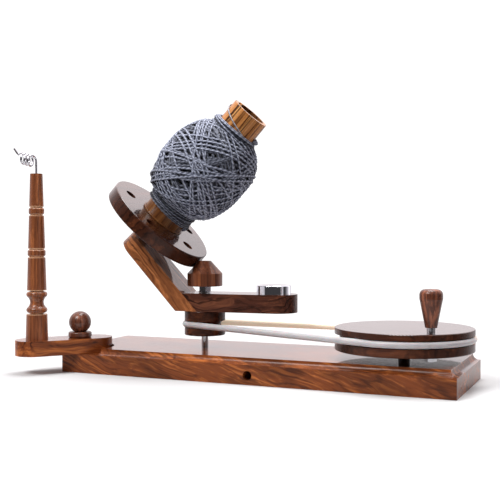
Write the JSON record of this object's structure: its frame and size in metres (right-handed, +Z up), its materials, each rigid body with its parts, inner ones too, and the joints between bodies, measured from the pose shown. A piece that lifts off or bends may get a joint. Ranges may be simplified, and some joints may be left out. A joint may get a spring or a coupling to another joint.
{
  "type": "yarn ball winder",
  "caption": "Wooden hand-cranked yarn ball winder: a belt-driven flyer arm carries a tilted bobbin round a friction cone; a swinging post with a wire pigtail guides the yarn.",
  "frame": {"origin": "centre of the base board's underside", "axes": "+X along the base towards the drive wheel, +Y to the back, +Z up"},
  "size_m": [0.5005, 0.1882, 0.3103],
  "materials": {
    "figured_rosewood": "lacquered",
    "dark_rosewood": "lacquered",
    "amber_wood": "lacquered",
    "steel": "bright",
    "chrome": "polished",
    "brass": "satin",
    "black_plastic": "satin",
    "belt": "smooth",
    "yarn": "plied wool"
  },
  "bodies": {
    "base": {"base_board": "figured_rosewood", "main_shaft": "steel", "shaft_nuts": "steel", "shaft_washers": "steel", "friction_cone": "dark_rosewood", "wheel_axle": "steel", "axle_washer": "steel", "wheel_spacer": "black_plastic", "drive_belt": "belt", "knob_insert": "brass"},
    "flyer": {"arm_foot": "dark_rosewood", "arm_upright": "amber_wood", "joint_dowels": "amber_wood", "flyer_bush": "brass", "small_pulley": "dark_rosewood", "pulley_screws": "steel", "counterweight": "chrome", "counterweight_screw": "steel", "bobbin_spindle": "steel", "spindle_nuts": "steel", "spindle_washers": "steel", "spindle_spacer": "black_plastic"},
    "bobbin": {"bobbin_disc": "dark_rosewood", "tube_ring": "amber_wood", "bobbin_tube": "amber_wood", "bobbin_bush": "brass", "disc_screws": "steel"},
    "yarn_ball": {"yarn_core": "yarn", "yarn_winding": "yarn"},
    "drive_wheel": {"drive_wheel": "dark_rosewood", "wheel_bush": "brass", "crank_bolt": "steel", "crank_washer": "steel", "crank_nut": "steel"},
    "crank_handle": {"handle_grip": "dark_rosewood", "handle_ferrule": "steel"},
    "guide_arm": {"guide_plate": "figured_rosewood", "guide_post": "figured_rosewood", "guide_wire": "steel", "post_screw": "steel"},
    "clamp_knob": {"clamp_knob": "dark_rosewood", "knob_stud": "steel"}
  },
  "joints": [
    {"name": "flyer_spin", "type": "hinge", "parent": "base", "child": "flyer", "pos_m": [-0.0765, 0, 0.0705], "axis": [0, 0, 1], "continuous": true},
    {"name": "wheel_spin", "type": "hinge", "parent": "base", "child": "drive_wheel", "pos_m": [0.157, 0, 0.05], "axis": [0, 0, 1], "continuous": true},
    {"name": "bobbin_spin", "type": "hinge", "parent": "flyer", "child": "bobbin", "pos_m": [-0.12915, -0.00461, 0.1764], "axis": [0.673, 0.0589, 0.7373], "continuous": true},
    {"name": "ball_slide", "type": "slide", "parent": "bobbin", "child": "yarn_ball", "axis": [0.673, 0.0589, 0.7373], "range_m": [0, 0.155]},
    {"name": "handle_spin", "type": "hinge", "parent": "drive_wheel", "child": "crank_handle", "pos_m": [0.19517, -0.0463, 0.07], "axis": [0, 0, 1], "continuous": true},
    {"name": "guide_swing", "type": "hinge", "parent": "base", "child": "guide_arm", "pos_m": [-0.214, -0.05, 0.03], "axis": [0, 0, 1], "range_deg": [-85, 55]},
    {"name": "knob_turn", "type": "hinge", "parent": "base", "child": "clamp_knob", "pos_m": [-0.214, -0.05, 0.045], "axis": [0, 0, 1], "range_deg": [0, 180]}
  ],
  "couplings": [
    {"joint": "wheel_spin", "follows": "flyer_spin", "ratio": 0.31468},
    {"joint": "bobbin_spin", "follows": "flyer_spin", "ratio": 0.1594}
  ]
}
